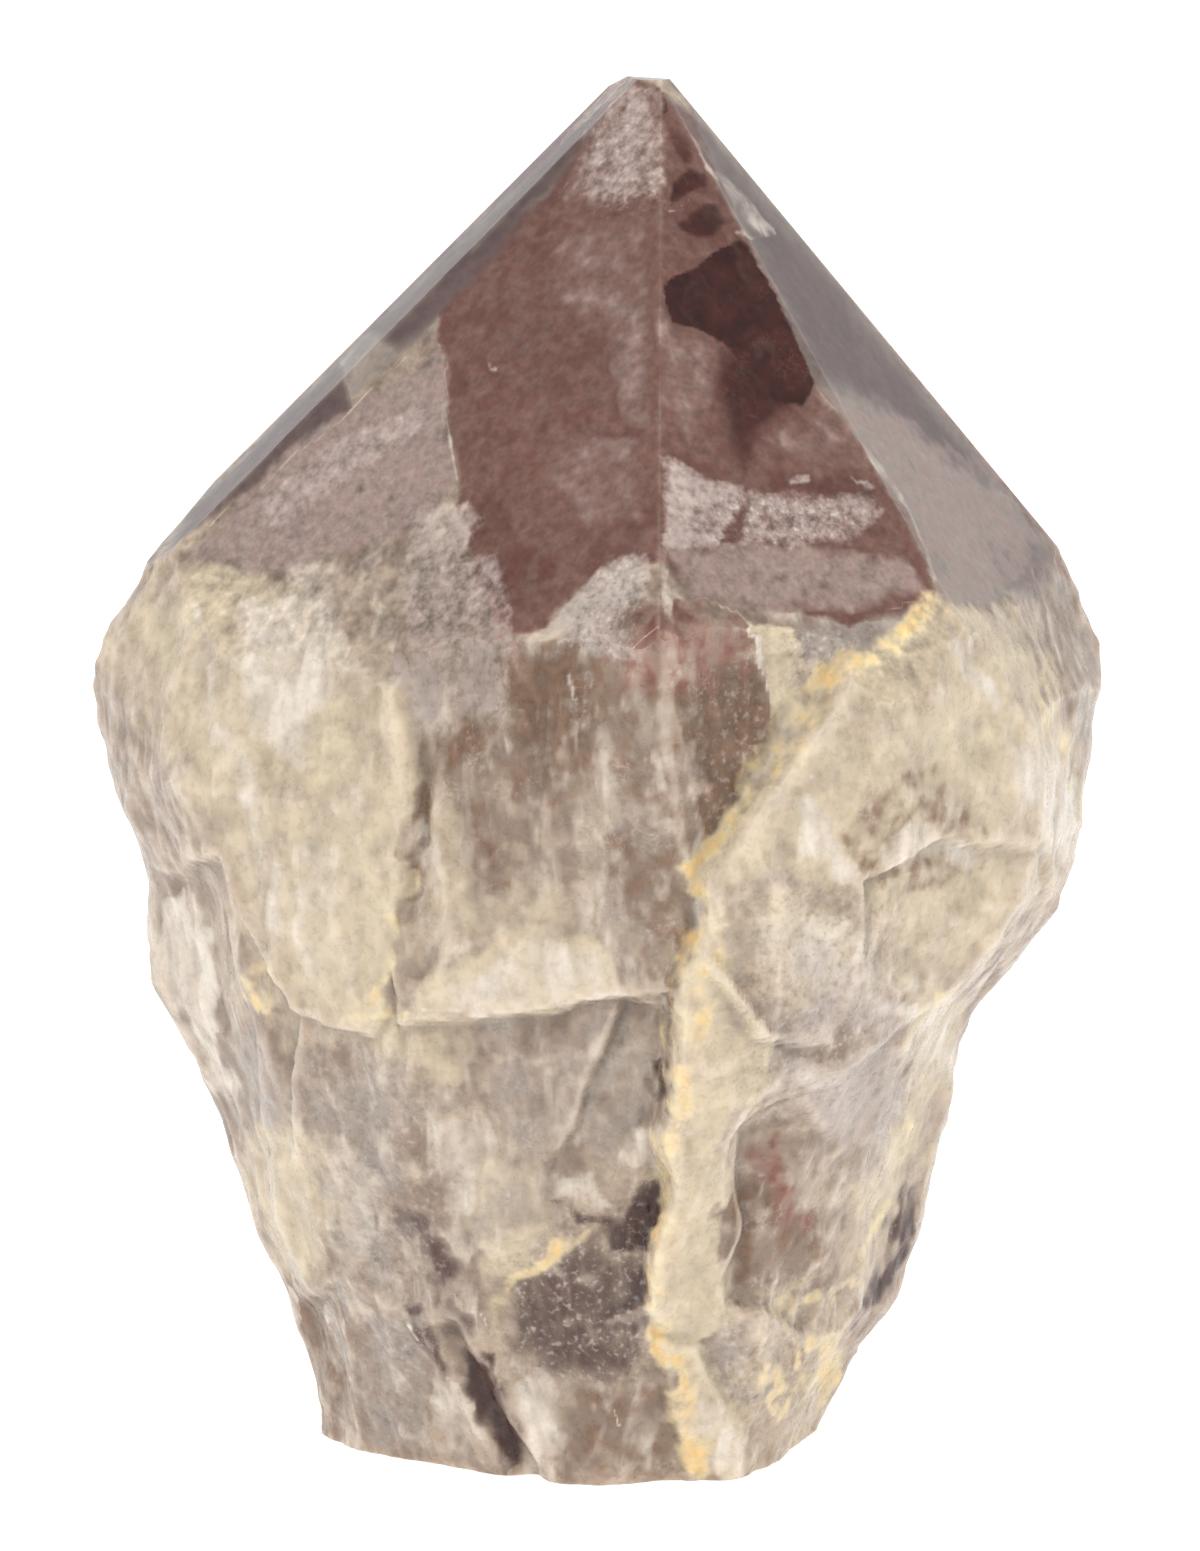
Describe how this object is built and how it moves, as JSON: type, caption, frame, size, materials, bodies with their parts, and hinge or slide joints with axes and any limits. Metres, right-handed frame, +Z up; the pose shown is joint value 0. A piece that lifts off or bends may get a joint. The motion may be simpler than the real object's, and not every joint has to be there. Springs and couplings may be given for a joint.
{
  "type": "amethyst point",
  "caption": "Upright amethyst point with a ground and polished pyramid tip on a rough, tapering body of brown, mauve and cream quartz, cut flat at the foot.",
  "frame": {"origin": "on the flat foot, under the middle of the stone's bounding box", "axes": "+Z up through the tip, -Y towards the best side, +X to its right"},
  "size_m": [0.0798, 0.0694, 0.1088],
  "materials": {
    "amethyst": "polished on the six tip faces, rough and glassy where broken"
  },
  "bodies": {
    "root": {"crystal": "amethyst"}
  },
  "joints": []
}
